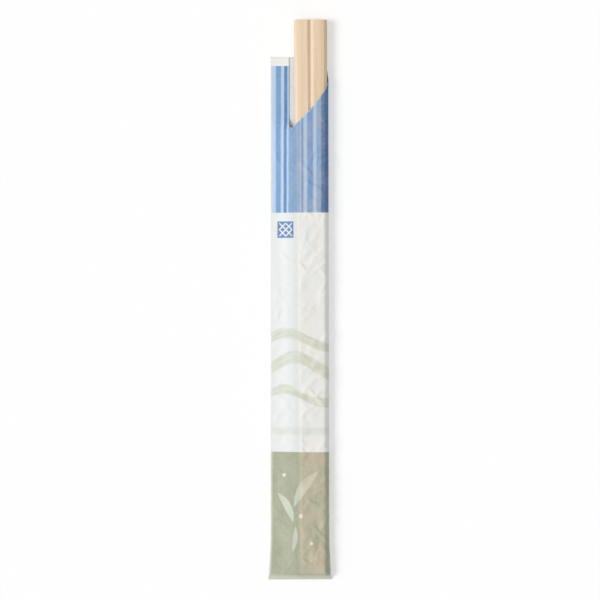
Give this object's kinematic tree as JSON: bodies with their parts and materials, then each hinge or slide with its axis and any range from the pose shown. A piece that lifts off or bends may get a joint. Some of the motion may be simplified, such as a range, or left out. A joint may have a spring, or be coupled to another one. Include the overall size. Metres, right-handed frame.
{
  "type": "disposable wooden chopsticks",
  "caption": "Snap-apart wooden chopsticks, still joined at the heads, in a flat folded paper sleeve with a notched mouth.",
  "frame": {"origin": "middle of the bounding box, on the plane the sleeve's back rests on", "axes": "+X to the right across the printed front, +Y along the sticks towards the joined heads, +Z out of the printed front"},
  "size_m": [0.0216, 0.2056, 0.0049],
  "materials": {
    "birch": "plain unvarnished sawn birch",
    "printed_paper": "thin matt paper, printed outside in blue, white and sage green, plain white inside"
  },
  "bodies": {
    "root": {"chopstick_pair": "birch", "paper_sleeve": "printed_paper"}
  },
  "joints": []
}
